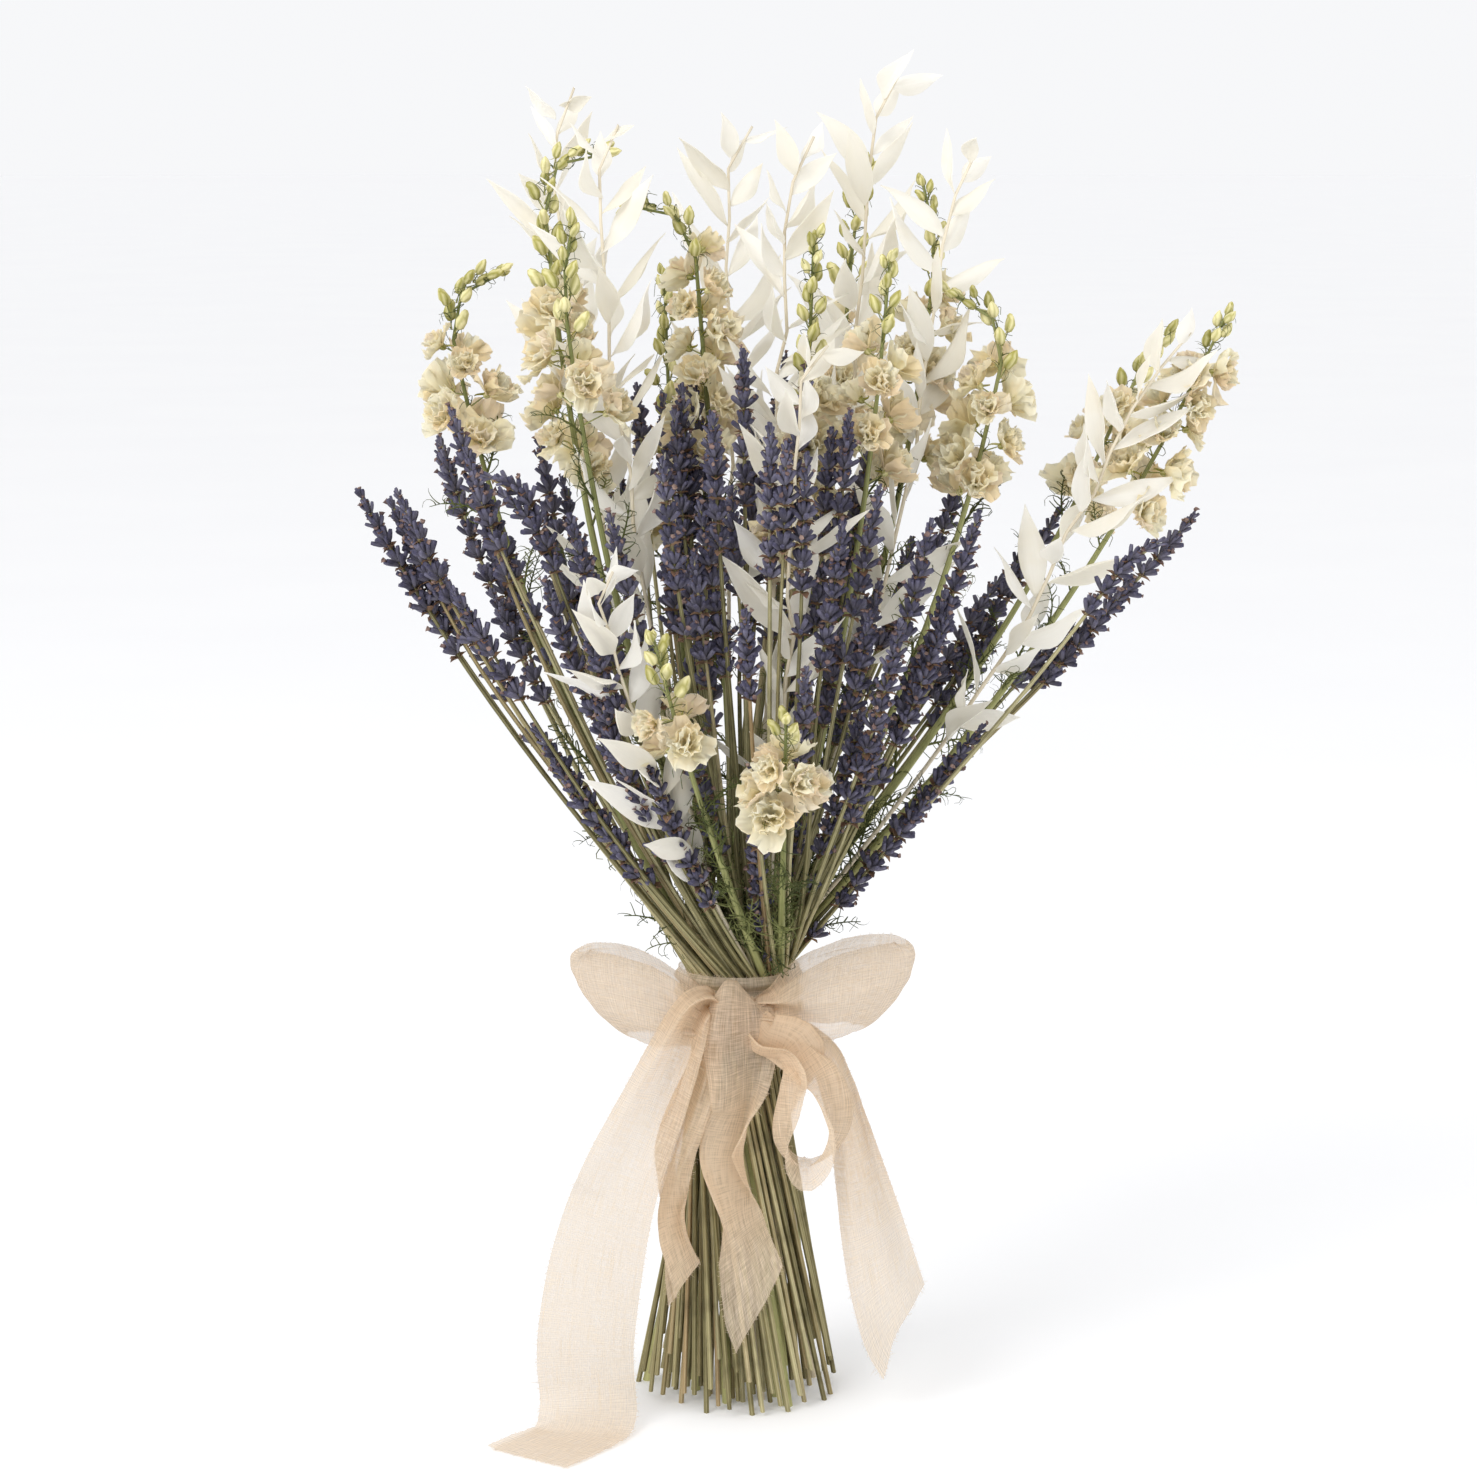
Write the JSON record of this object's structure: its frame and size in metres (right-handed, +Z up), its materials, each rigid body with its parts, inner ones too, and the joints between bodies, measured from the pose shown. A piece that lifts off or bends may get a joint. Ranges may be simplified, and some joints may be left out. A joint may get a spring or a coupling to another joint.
{
  "type": "tied bunch of dried lavender and flowers",
  "caption": "Hand-tied bunch of dried lavender with pale larkspur and bleached ruscus, splayed stems and a gauze bow, standing on its cut ends.",
  "frame": {"origin": "centre of the middle larkspur's cut end, on the plane that the bunch stands on", "axes": "+Z up along the bunch from its cut ends to its flower heads; the bow faces -Y; +X to the bow's right as seen from the front"},
  "size_m": [0.34, 0.2249, 0.5327],
  "materials": {
    "dried_lavender": "matte",
    "dried_larkspur": "matte",
    "bleached_ruscus": "satin",
    "natural_twine": "matte",
    "cotton_gauze": "matte"
  },
  "bodies": {
    "root": {"lavender_sprig_01": "dried_lavender", "lavender_sprig_02": "dried_lavender", "lavender_sprig_03": "dried_lavender", "lavender_sprig_04": "dried_lavender", "lavender_sprig_05": "dried_lavender", "lavender_sprig_06": "dried_lavender", "lavender_sprig_07": "dried_lavender", "lavender_sprig_08": "dried_lavender", "lavender_sprig_09": "dried_lavender", "lavender_sprig_10": "dried_lavender", "lavender_sprig_11": "dried_lavender", "lavender_sprig_12": "dried_lavender", "lavender_sprig_13": "dried_lavender", "lavender_sprig_14": "dried_lavender", "lavender_sprig_15": "dried_lavender", "lavender_sprig_16": "dried_lavender", "lavender_sprig_17": "dried_lavender", "lavender_sprig_18": "dried_lavender", "lavender_sprig_19": "dried_lavender", "lavender_sprig_20": "dried_lavender", "lavender_sprig_21": "dried_lavender", "lavender_sprig_22": "dried_lavender", "lavender_sprig_23": "dried_lavender", "lavender_sprig_24": "dried_lavender", "lavender_sprig_25": "dried_lavender", "lavender_sprig_26": "dried_lavender", "larkspur_stem_01": "dried_larkspur", "larkspur_stem_02": "dried_larkspur", "larkspur_stem_03": "dried_larkspur", "larkspur_stem_04": "dried_larkspur", "larkspur_stem_05": "dried_larkspur", "larkspur_stem_06": "dried_larkspur", "larkspur_stem_07": "dried_larkspur", "larkspur_stem_08": "dried_larkspur", "larkspur_stem_09": "dried_larkspur", "larkspur_stem_10": "dried_larkspur", "larkspur_stem_11": "dried_larkspur", "larkspur_stem_12": "dried_larkspur", "larkspur_stem_13": "dried_larkspur", "larkspur_stem_14": "dried_larkspur", "ruscus_branch_01": "bleached_ruscus", "ruscus_branch_02": "bleached_ruscus", "ruscus_branch_03": "bleached_ruscus", "ruscus_branch_04": "bleached_ruscus", "ruscus_branch_05": "bleached_ruscus", "ruscus_branch_06": "bleached_ruscus", "ruscus_branch_07": "bleached_ruscus", "ruscus_branch_08": "bleached_ruscus", "ruscus_branch_09": "bleached_ruscus", "binding_twine": "natural_twine", "ribbon_wrap": "cotton_gauze", "ribbon_knot": "cotton_gauze", "bow_loop_left": "cotton_gauze", "bow_loop_right": "cotton_gauze", "ribbon_small_loop": "cotton_gauze", "ribbon_tail_left_outer": "cotton_gauze", "ribbon_tail_left_inner": "cotton_gauze", "ribbon_tail_centre": "cotton_gauze", "ribbon_tail_right": "cotton_gauze"}
  },
  "joints": []
}
